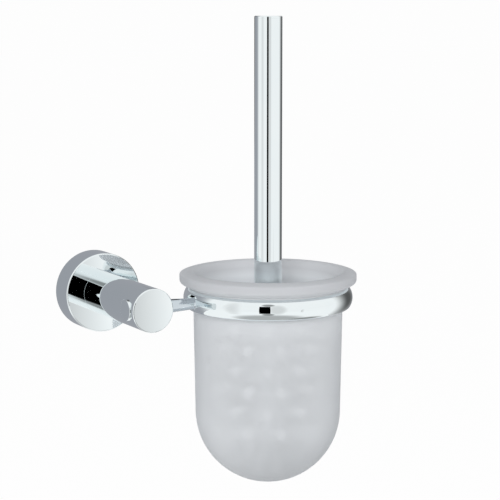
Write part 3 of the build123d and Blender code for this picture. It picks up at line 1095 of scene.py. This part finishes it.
@dataclass
class Ring:
    """The chrome ring and the clear sleeve inside it.

    Attributes:
        inner: The ring's inner radius.
        height: Its height.
        depth: Its thickness, from inside to crest.
        corner: Rounding of its inner edges.
        crest_rounding: Radius of its half-round outside at the top and bottom.
        sleeve_wall: The sleeve's thickness.
        sleeve_inset: How far the sleeve ends above the bottom of the ring.
        corner_steps: Steps round an inner edge.
        crest_steps: Steps on each arc of the outside.
    """

    inner: float = 49.7
    height: float = 13.2
    depth: float = 5.5
    corner: float = 1.6
    crest_rounding: float = 2.9
    sleeve_wall: float = 0.5
    sleeve_inset: float = 1.4
    corner_steps: int = 8
    crest_steps: int = 14

    def build(self, lathe: Lathe) -> None:
        """Turn the ring and its sleeve.

        Args:
            lathe: The bowl's axis.
        """
        top = self.height / 2
        corner_r = self.inner + self.corner
        corner_z = top - self.corner
        crest = self.depth - self.corner
        upper = oval_quarter((corner_r, 0.0), crest, top, self.crest_rounding, 1, 1, self.crest_steps)
        lower = oval_quarter((corner_r, 0.0), crest, top, self.crest_rounding, 1, -1, self.crest_steps)
        outline = arc((corner_r, corner_z), self.corner, 180, -90, self.corner_steps)[:-1]
        outline += upper[::-1]
        outline += lower[1:]
        outline += arc((corner_r, -corner_z), self.corner, 270, -90, self.corner_steps)[1:]
        hoop = lathe.turn("ring_hoop", outline)
        dress(hoop, PLATE, Body.HOLDER, "support_ring")
        self.build_sleeve(lathe, corner_r, corner_z)

    def build_sleeve(self, lathe: Lathe, corner_r: float, corner_z: float) -> None:
        """Turn the sleeve, whose lip follows the ring's upper inner corner.

        Args:
            lathe: The bowl's axis.
            corner_r: Radius of the corner's middle.
            corner_z: Height of the corner's middle.
        """
        bottom = self.sleeve_inset - self.height / 2
        outline = [(self.inner, bottom)]
        outline += arc((corner_r, corner_z), self.corner, 180, -90, self.corner_steps)
        outline += arc((corner_r, corner_z), self.corner + self.sleeve_wall, 90, 90, self.corner_steps)
        outline += [(self.inner - self.sleeve_wall, bottom)]
        sleeve = lathe.turn("ring_sleeve", outline)
        dress(sleeve, SLEEVE, Body.HOLDER, "ring_liner")


# ---------------------------------------------------------------------------------------------------------------
# Bowl
# ---------------------------------------------------------------------------------------------------------------


@dataclass
class GlassBowl:
    """The frosted bowl with its flared flange, upright lip, short throat and round bottom.

    Attributes:
        neck_radius: Outer radius under the flange.
        base_radius: Outer radius of the round bottom.
        body_height: Height from the middle of the round bottom to the neck.
        wall: Thickness of the glass.
        overhang: How far the lip stands out past the neck.
        flare: Slope of the flange.
        lip_height: Height of the upright lip.
        lip_upper: Rounding of the lip's upper edge.
        lip_lower: Rounding of its lower edge.
        crown: Rise of the rim inside the lip.
        throat_width: Level half axis of the throat's curve.
        throat_depth: Upright half axis of that curve.
        throat_rounding: Radius at its tight end.
        neck_centre: Middle of the neck's hollow, as radius and height.
        bottom_steps: Steps of the round bottom.
        neck_steps: Steps of the neck.
        lip_steps: Steps of the lip's lower edge.
        crest_steps: Steps on each arc of the rim's top.
    """

    neck_radius: float = 48.9
    base_radius: float = 47.6
    body_height: float = 80.5
    wall: float = 3.3
    overhang: float = 8.8
    flare: float = 22.0
    lip_height: float = 5.8
    lip_upper: float = 1.2
    lip_lower: float = 2.5
    crown: float = 1.2
    throat_width: float = 4.7
    throat_depth: float = 6.0
    throat_rounding: float = 4.2
    neck_centre: Span = (51.3, 5.0)
    bottom_steps: int = 40
    neck_steps: int = 8
    lip_steps: int = 10
    crest_steps: int = 12

    def build(self, lathe: Lathe) -> None:
        """Turn the bowl's whole wall.

        Args:
            lathe: The bowl's axis.
        """
        neck_r, neck_z = self.neck_centre
        spring = neck_z - self.body_height
        outline = arc((0.0, spring), self.base_radius, 270, 90, self.bottom_steps)
        outline += arc((neck_r, neck_z), neck_r - self.neck_radius, 180, self.flare - 90, self.neck_steps)
        outline += self.rim()
        outline += arc((0.0, spring), self.base_radius - self.wall, 0, -90, self.bottom_steps)
        outline[0] = (0.0, outline[0][1])
        outline[-1] = (0.0, outline[-1][1])
        bowl = lathe.turn("bowl_glass", outline)
        dress(bowl, GLASS, Body.BOWL, "glass_bowl")

    def rim(self) -> Outline:
        """Points of the lip, crown and throat.

        Returns:
            The points, from the end of the flare to the inside wall.
        """
        neck_r, neck_z = self.neck_centre
        fillet = neck_r - self.neck_radius
        slope = math.radians(self.flare)
        radius = self.neck_radius + self.overhang
        start_r = neck_r - fillet * math.sin(slope)
        start_z = neck_z + fillet * math.cos(slope)
        lip_bottom = start_z + (radius - start_r) * math.tan(slope)
        lower_z = lip_bottom + self.lip_lower * (1 - math.sin(slope)) / math.cos(slope)
        upper_z = lip_bottom + self.lip_height - self.lip_upper
        crest_r = self.neck_radius - self.wall + self.throat_width
        swell = self.crown + self.lip_upper
        throat_z = upper_z + swell - self.throat_depth
        lip_turn = 90 - self.flare
        lower = arc((radius - self.lip_lower, lower_z), self.lip_lower, -lip_turn, lip_turn, self.lip_steps)
        over = oval_quarter((crest_r, upper_z), radius - crest_r, swell, self.lip_upper, 1, 1, self.crest_steps)
        inward = oval_quarter(
            (crest_r, throat_z), self.throat_width, self.throat_depth, self.throat_rounding, -1, 1, self.crest_steps
        )
        return lower + over + inward[::-1][1:]


# ---------------------------------------------------------------------------------------------------------------
# Brush
# ---------------------------------------------------------------------------------------------------------------


@dataclass
class Handle:
    """The tube, its flush end cap and the insert at its lower end.

    Attributes:
        bottom: Height of the tube's lower end.
        top: Height of the cap's top.
        diameter: The tube's diameter.
        wall: Its thickness.
        cap_plate: Thickness of the cap's plate.
        cap_plug: Length of the cap's plug.
        chamfer: Chamfer round the cap's top.
        edge: Width that the cap's sharp edges are broken by.
    """

    bottom: float = -5.1
    top: float = 181.3
    diameter: float = 18.0
    wall: float = 1.0
    cap_plate: float = 1.6
    cap_plug: float = 7.0
    chamfer: float = 0.5
    edge: float = 0.05

    def build(self, lathe: Lathe) -> None:
        """Turn the tube and its cap, and dress the insert.

        Args:
            lathe: The bowl's axis.
        """
        radius = self.diameter / 2
        bore = radius - self.wall
        seam = self.top - self.cap_plate
        tube = lathe.turn("handle_bar", [(bore, self.bottom), (radius, self.bottom), (radius, seam), (bore, seam)])
        dress(tube, TUBE, Body.BRUSH, "handle_tube")
        outline = [
            (0.0, seam - self.cap_plug),
            (bore, seam - self.cap_plug),
            (bore, seam),
            (radius, seam),
            (radius, self.top - self.chamfer),
            (radius - self.chamfer, self.top),
            (0.0, self.top),
        ]
        cap = lathe.turn("handle_cap", outline, edge=self.edge)
        dress(cap, TUBE, Body.BRUSH, "handle_end_cap")
        dress_node("handle_insert", INSERT)


@dataclass
class TuftMaker:
    """Makes a few different tufts of filaments, upright on +Z, that every row repeats.

    Attributes:
        root_radius: A tuft's radius at its roots.
        tip_radius: Its radius at its tips.
        filaments: Filaments in a tuft.
        thickness: Width across a filament's corners.
        sides: Sides of a filament.
        bends: Lengths that a filament is drawn in.
        crimp: Most that it strays at a bend.
        wander: Most that it strays round the tuft, in radians.
        unevenness: Most that it falls short of the others.
        kinds: Different tufts.
        seed: Start of the draws.
    """

    root_radius: float = 1.7
    tip_radius: float = 3.1
    filaments: int = 34
    thickness: float = 0.42
    sides: int = 4
    bends: int = 3
    crimp: float = 0.16
    wander: float = 0.2
    unevenness: float = 0.5
    kinds: int = 5
    seed: int = 11

    def one(self, start: float, reach: float, kind: int) -> bpy.types.Mesh:
        """Model one tuft.

        Args:
            start: Distance of its root from the core's axis.
            reach: Distance of its tips.
            kind: Which of the slightly different tufts to make.

        Returns:
            A mesh of all its filaments.
        """
        chance = random.Random(self.seed + kind)
        bm = bmesh.new()
        golden = math.pi * (3 - math.sqrt(5))
        for index in range(self.filaments):
            share = math.sqrt((index + 0.5) / self.filaments)
            bearing = golden * index + chance.uniform(-self.wander, self.wander)
            way = Matrix.Rotation(bearing, 3, "Z") @ Vector((1, 0, 0))
            self.filament(bm, way * share, start, reach - chance.uniform(0.0, self.unevenness), chance)
        mesh = bpy.data.meshes.new(f"tuft_{kind}")
        bm.to_mesh(mesh)
        bm.free()
        return mesh

    def filament(
        self, bm: bmesh.types.BMesh, way: Vector, start: float, reach: float, chance: random.Random
    ) -> None:
        """Extrude one crimped filament from its root to its tip.

        Args:
            bm: The tuft's mesh.
            way: Its place in the tuft as a share of the tuft's radius.
            start: Height of its root.
            reach: Height of its tip.
            chance: Source of its small differences.
        """
        half = self.thickness / 2
        inner = self.root_radius - half
        outer = self.tip_radius - half
        made = bmesh.ops.create_circle(bm, cap_ends=True, segments=self.sides, radius=half * MM)
        ring = made["verts"]
        root = way * inner * MM
        bmesh.ops.translate(bm, verts=ring, vec=(root.x, root.y, start * MM))
        face = ring[0].link_faces[0]
        place = root
        for bend in range(1, self.bends + 1):
            share = bend / self.bends
            spread = inner + (outer - inner) * share
            target = way * spread * MM
            if bend < self.bends:
                target += Vector((chance.uniform(-1, 1), chance.uniform(-1, 1), 0)) * self.crimp * MM
            extruded = bmesh.ops.extrude_discrete_faces(bm, faces=[face])
            face = extruded["faces"][0]
            step = Vector((target.x - place.x, target.y - place.y, (reach - start) / self.bends * MM))
            bmesh.ops.translate(bm, verts=face.verts, vec=step)
            place = target


@dataclass
class BrushHead:
    """The core and its rows of tufts.

    Attributes:
        top: Height of the core's top.
        core_radius: The core's radius.
        collar_radius: Its radius at the top.
        collar_height: Height of that narrower part.
        core_edge: Width that the core's edges are rounded over.
        edge_steps: Faces across such an edge.
        dome_z: Height of the middle of its round end.
        first_row: Height of the uppermost row.
        row_pitch: Drop from one row to the next.
        rows: Rows round the core's side.
        row_turn: Turn of every other row.
        row_tufts: Tufts in a row.
        tip_reach: Distance of the rows' tips from the axis.
        spring_z: Height of the middle of the bowl's round bottom.
        bowl_inner: The bowl's inner radius there.
        dome_rings: Tufts, angle below level and gap to the glass, for each ring round the core's end.
        nose_gap: Gap from the lowest tuft to the glass.
        sunk: Depth of the tufts' roots in the core.
        twist: Turn of each tuft about itself against the one before.
        crease: Angle above which a filament's edges stay sharp.
        maker: Makes the tufts.
    """

    top: float = -5.1
    core_radius: float = 14.5
    collar_radius: float = 11.0
    collar_height: float = 3.5
    core_edge: float = 0.3
    edge_steps: int = 4
    dome_z: float = -88.1
    first_row: float = -15.1
    row_pitch: float = 13.5
    rows: int = 6
    row_turn: float = 12.0
    row_tufts: int = 12
    tip_reach: float = 42.4
    spring_z: float = BOWL_SPRING
    bowl_inner: float = 44.3
    dome_rings: tuple[tuple[int, float, float], ...] = ((10, 30.0, 6.0), (6, 60.0, 0.8))
    nose_gap: float = 0.3
    sunk: float = 0.5
    twist: float = 37.0
    crease: float = 100.0
    maker: TuftMaker = field(default_factory=TuftMaker)

    def build(self, lathe: Lathe) -> None:
        """Turn the core and plant every row.

        Args:
            lathe: The bowl's axis.
        """
        self.build_core(lathe)
        for row in range(self.rows):
            height = self.first_row - self.row_pitch * row
            turn = self.row_turn * (row % 2)
            self.plant(lathe, f"tuft_row_{row + 1}", self.row_tufts, 0.0, height, self.tip_reach, turn)
        for index, (count, drop, gap) in enumerate(self.dome_rings):
            node = f"tuft_row_{self.rows + index + 1}"
            self.plant(lathe, node, count, drop, self.dome_z, self.reach_to_glass(drop, gap), 0.0)
        self.plant(lathe, "tuft_nose", 1, 90.0, self.dome_z, self.reach_to_glass(90.0, self.nose_gap), 0.0)

    def build_core(self, lathe: Lathe) -> None:
        """Turn the round-ended core with its collar.

        Args:
            lathe: The bowl's axis.
        """
        slope = self.core_radius - self.collar_radius
        outline = [
            (0.0, self.top),
            (self.collar_radius, self.top),
            (self.collar_radius, self.top - self.collar_height),
            (self.core_radius, self.top - self.collar_height - slope),
        ]
        outline += arc((0.0, self.dome_z), self.core_radius, 0, -90, 16)
        outline[-1] = (0.0, outline[-1][1])
        core = lathe.turn("head_core", outline, edge=self.core_edge, segments=self.edge_steps)
        dress(core, CORE_PAINTED_SHADE, Body.BRUSH, "brush_core")

    def reach_to_glass(self, drop: float, gap: float) -> float:
        """Distance from the core's round end's middle to a gap short of the bowl's round bottom.

        Args:
            drop: Angle below level.
            gap: The gap.

        Returns:
            The distance.
        """
        below = self.spring_z - self.dome_z
        along = below * math.sin(math.radians(drop))
        return math.sqrt((self.bowl_inner - gap) ** 2 - below**2 + along**2) - along

    def plant(
        self, lathe: Lathe, node: str, count: int, drop: float, height: float, reach: float, turn: float
    ) -> None:
        """Plant one ring of tufts.

        Args:
            lathe: The bowl's axis.
            node: CAD node that the ring stands for.
            count: Tufts in the ring.
            drop: Angle of the tufts below level.
            height: Height of the ring's centre.
            reach: Distance of the tips from the centre.
            turn: Turn of the first tuft about the axis.
        """
        kinds = [self.maker.one(self.core_radius - self.sunk, reach, kind) for kind in range(self.maker.kinds)]
        bm = bmesh.new()
        for index in range(count):
            before = len(bm.verts)
            bm.from_mesh(kinds[index % len(kinds)])
            bm.verts.ensure_lookup_table()
            place = (
                lathe.place
                @ Matrix.Translation((0.0, 0.0, height * MM))
                @ Matrix.Rotation(math.radians(turn + 360 * index / count), 4, "Z")
                @ Matrix.Rotation(math.radians(90 + drop), 4, "Y")
                @ Matrix.Rotation(math.radians(self.twist * index), 4, "Z")
            )
            bmesh.ops.transform(bm, matrix=place, verts=bm.verts[before:])
        bmesh.ops.recalc_face_normals(bm, faces=bm.faces)
        for mesh in kinds:
            bpy.data.meshes.remove(mesh)
        row = finish_mesh(node.replace("tuft", "bristles"), bm, math.radians(self.crease))
        dress(row, NYLON, Body.BRUSH, node)


# ---------------------------------------------------------------------------------------------------------------
# Studio
# ---------------------------------------------------------------------------------------------------------------


@dataclass(frozen=True)
class Card:
    """A softly lit or dark card that stands round the set for the chrome to mirror.

    Attributes:
        name: Its name.
        azimuth: Direction from the set, counted from straight out of the wall towards the arm's side.
        elevation: Direction above level.
        distance: Distance from the set, in metres.
        width: Its width, in metres.
        height: Its height, in metres.
        shades: Brightness at its left and right edges, as the set sees it.
        fade: Share of its half size over which an oval card fades out, or 0 for a plain rectangle.
        tint: Colour of its glow.
        rays: Kinds of ray that see it: reflections only, unless it says more.
    """

    name: str
    azimuth: float
    elevation: float
    distance: float
    width: float
    height: float
    shades: Span
    fade: float = 0.0
    tint: Colour = (1.0, 1.0, 1.0)
    rays: tuple[str, ...] = ("glossy",)

    def build(self, target: Vector) -> None:
        """Hang the card so that it faces the set.

        Args:
            target: Middle of the set.
        """
        azimuth = math.radians(self.azimuth)
        elevation = math.radians(self.elevation)
        out = Vector(
            (math.sin(azimuth) * math.cos(elevation), -math.cos(azimuth) * math.cos(elevation), math.sin(elevation))
        )
        bm = bmesh.new()
        bmesh.ops.create_grid(bm, x_segments=1, y_segments=1, size=0.5)
        bmesh.ops.scale(bm, verts=bm.verts, vec=(self.width, self.height, 1.0))
        mesh = bpy.data.meshes.new(self.name)
        bm.to_mesh(mesh)
        bm.free()
        card = bpy.data.objects.new(self.name, mesh)
        card.location = target + out * self.distance
        card.rotation_mode = "QUATERNION"
        card.rotation_quaternion = (-out).to_track_quat("Z", "Y")
        card.data.materials.append(self.material())
        bpy.context.scene.collection.objects.link(card)
        for ray in ("camera", "diffuse", "glossy", "transmission", "volume_scatter", "shadow"):
            setattr(card, f"visible_{ray}", ray in self.rays)

    def material(self) -> bpy.types.Material:
        """Make the card's glow, graded from one side to the other.

        Returns:
            The card's material.
        """
        made, wiring = blank_material(self.name)
        place = wiring.add("ShaderNodeTexCoord").outputs["Object"]
        across = wiring.add("ShaderNodeSeparateXYZ", {"Vector": place}).outputs["X"]
        shade = wiring.ranged(across, (self.width / 2, -self.width / 2), self.shades)
        glow = wiring.add("ShaderNodeEmission", {"Color": (*self.tint, 1.0), "Strength": shade}).outputs["Emission"]
        if self.fade > 0:
            glow = self.faded(wiring, place, glow)
        wiring.add("ShaderNodeOutputMaterial", {"Surface": glow})
        made.cycles.emission_sampling = "NONE"
        return made

    def faded(
        self, wiring: Wiring, place: bpy.types.NodeSocket, glow: bpy.types.NodeSocket
    ) -> bpy.types.NodeSocket:
        """Let the card fade out towards an oval edge.

        Args:
            wiring: The card's node tree.
            place: Position on the card.
            glow: The card's glow.

        Returns:
            The glow, mixed with a clear surface.
        """
        halves = (2 / self.width, 2 / self.height, 0.0)
        oval = wiring.add("ShaderNodeMapping", {"Vector": place, "Scale": halves}).outputs["Vector"]
        out = wiring.length(oval)
        share = wiring.ranged(out, (1 - self.fade, 1.0), (1.0, 0.0), interpolation_type="SMOOTHSTEP")
        clear = wiring.add("ShaderNodeBsdfTransparent").outputs["BSDF"]
        return wiring.mix(share, clear, glow)


@dataclass(frozen=True)
class Lamp:
    """A soft lamp.

    Attributes:
        name: Its name.
        place: Its place from the set, in metres.
        size: Its width, in metres.
        power: Its power in watts.
    """

    name: str
    place: Place
    size: float
    power: float

    def build(self, target: Vector) -> None:
        """Hang the lamp so that it faces the set.

        Args:
            target: Middle of the set.
        """
        light = bpy.data.lights.new(self.name, "AREA")
        light.shape = "DISK"
        light.size = self.size
        light.energy = self.power
        lamp = bpy.data.objects.new(self.name, light)
        lamp.location = target + Vector(self.place)
        lamp.rotation_mode = "QUATERNION"
        lamp.rotation_quaternion = Vector(self.place).to_track_quat("Z", "Y")
        for ray in ("camera", "glossy", "transmission"):
            setattr(lamp, f"visible_{ray}", False)
        bpy.context.scene.collection.objects.link(lamp)


@dataclass
class Studio:
    """Camera, white surroundings, floor, lamps and reflection cards.

    Attributes:
        camera_place: The camera's place.
        camera_yaw: Turn of its view from straight at the wall towards the arm's side.
        camera_pitch: How far it looks down.
        lens: Its focal length.
        sensor: Width of its sensor.
        nearest: Nearest distance that it sees, in metres.
        farthest: Farthest distance that it sees, in metres.
        floor_z: Height of the floor.
        floor_size: Width of the floor, in metres.
        floor_tint: The floor's colour.
        floor_glow: Share of the floor's own white for the camera, metal and glass; the rest shows the shadow.
        surround: Brightness of the surroundings for the camera, metal and glass.
        ambient: Their brightness as light on the set.
        lamps: The lamps.
        cards: The reflection cards.
    """

    camera_place: Place = (-421.2, -968.8, 181.8)
    camera_yaw: float = 29.255
    camera_pitch: float = 8.425
    lens: float = 114.24
    sensor: float = 36.0
    nearest: float = 0.01
    farthest: float = 100.0
    floor_z: float = -620.0
    floor_size: float = 60.0
    floor_tint: Colour = (0.97, 0.97, 0.97)
    floor_glow: float = 0.94
    surround: float = 0.984
    ambient: float = 0.75
    lamps: tuple[Lamp, ...] = (
        Lamp("key_lamp", (-1.3, -1.5, 0.9), 1.2, 30.0),
        Lamp("fill_lamp", (0.7, -2.0, 0.5), 1.4, 9.0),
    )
    # wall_card and corner_card stand for the wall side and the corner of the room, camera_gap for the dark opening in
    # front, the hazes and gaps for what stands round it, wall_strip, under_right and under_card for what lies near the
    # wall and below, and disc_grade shades the post's flat end. floor_shade is a grey board that no reflection shows:
    # it keeps light off the bowl's bottom.
    cards: tuple[Card, ...] = (
        Card("wall_card", 180.0, 0.0, 0.7, 3.4, 3.4, (0.365, 0.365), fade=0.65, tint=(0.96, 0.985, 1.07)),
        Card("corner_card", 107.0, 0.0, 0.65, 1.05, 2.0, (0.09, 0.11), fade=0.9),
        Card("camera_gap", -33.8, -0.8, 0.48, 0.12, 0.397, (0.0, 0.0)),
        Card("left_haze", -78.0, 0.0, 0.9, 0.50, 2.0, (0.80, 0.80), fade=0.9),
        Card("right_haze", -17.2, 0.0, 0.9, 0.48, 1.4, (0.76, 0.76), fade=0.6),
        Card("upper_gap", -29.5, 29.3, 0.48, 0.16, 0.15, (0.34, 0.30), fade=0.5),
        Card("lower_gap", -29.5, -29.3, 0.48, 0.16, 0.15, (0.34, 0.30), fade=0.5),
        Card("wall_strip", 172.7, 48.2, 0.201, 0.10, 0.28, (0.10, 0.10), fade=0.4),
        Card("under_right", 62.0, -62.0, 0.5, 0.45, 0.35, (0.25, 0.25), fade=0.6),
        Card("disc_grade", 15.6, -11.0, 0.488, 0.056, 0.16, (0.63, 1.09), fade=0.2),
        Card("under_card", -29.3, -62.0, 0.50, 0.84, 0.72, (0.48, 0.48), fade=0.5),
        Card("floor_shade", 5.0, -58.0, 0.45, 0.8, 0.6, (0.15, 0.15), fade=0.6, rays=("diffuse", "transmission")),
    )

    def build(self, target: Vector) -> None:
        """Set up the whole studio.

        Args:
            target: Middle of the set, which the cards and lamps face.
        """
        scene = bpy.context.scene
        scene.view_settings.view_transform = "Standard"
        self.build_camera()
        self.build_world()
        self.build_floor()
        for lamp in self.lamps:
            lamp.build(target)
        for card in self.cards:
            card.build(target)

    def build_camera(self) -> None:
        """Place the camera."""
        yaw = math.radians(self.camera_yaw)
        pitch = math.radians(self.camera_pitch)
        ahead = Vector((math.sin(yaw) * math.cos(pitch), math.cos(yaw) * math.cos(pitch), -math.sin(pitch)))
        data = bpy.data.cameras.new("camera")
        data.lens = self.lens
        data.sensor_width = self.sensor
        data.clip_start = self.nearest
        data.clip_end = self.farthest
        camera = bpy.data.objects.new("camera", data)
        camera.location = Vector(self.camera_place) * MM
        camera.rotation_mode = "QUATERNION"
        camera.rotation_quaternion = ahead.to_track_quat("-Z", "Y")
        bpy.context.scene.collection.objects.link(camera)
        bpy.context.scene.camera = camera

    def build_world(self) -> None:
        """White surroundings for the camera, metal and glass, and a plain ambient light for the rest."""
        world = bpy.data.worlds.new("surround")
        bpy.context.scene.world = world
        world.use_nodes = True
        world.node_tree.nodes.clear()
        wiring = Wiring(world.node_tree)
        strength = wiring.ranged(wiring.seen(1.0), (0.0, 1.0), (self.ambient, self.surround))
        background = wiring.add("ShaderNodeBackground", {"Color": WHITE, "Strength": strength})
        wiring.add("ShaderNodeOutputWorld", {"Surface": background.outputs["Background"]})

    def build_floor(self) -> None:
        """Lay the plain pale floor."""
        bm = bmesh.new()
        bmesh.ops.create_grid(bm, x_segments=1, y_segments=1, size=self.floor_size / 2)
        bmesh.ops.translate(bm, verts=bm.verts, vec=(0.0, 0.0, self.floor_z * MM))
        floor = finish_mesh("floor", bm)
        made, wiring = blank_material("floor")
        face = wiring.add("ShaderNodeBsdfDiffuse", {"Color": (*self.floor_tint, 1.0)}).outputs["BSDF"]
        white = wiring.add("ShaderNodeEmission", {"Color": WHITE, "Strength": 1.0}).outputs["Emission"]
        wiring.add("ShaderNodeOutputMaterial", {"Surface": wiring.mix(wiring.seen(self.floor_glow), face, white)})
        made.cycles.emission_sampling = "NONE"
        floor.data.materials.append(made)


def main() -> None:
    """Load the frame, build each sub-assembly and light the set."""
    logging.basicConfig(level=logging.INFO, format="%(name)s: %(message)s")
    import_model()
    lathes = Lathes.from_frame()
    target = Vector((lathes.bowl.place.translation.x, lathes.bowl.place.translation.y, 0.0))
    Studio().build(target)
    log.info("studio built")
    WallRosette().build(lathes.post)
    log.info("wall rosette built")
    Post().build(lathes)
    log.info("post built")
    SupportArm().build(lathes.arm)
    log.info("support arm built")
    Ring().build(lathes.bowl)
    log.info("ring built")
    GlassBowl().build(lathes.bowl)
    log.info("glass bowl built")
    Handle().build(lathes.bowl)
    log.info("handle built")
    BrushHead().build(lathes.bowl)
    log.info("brush head built")


if __name__ == "__main__":
    main()
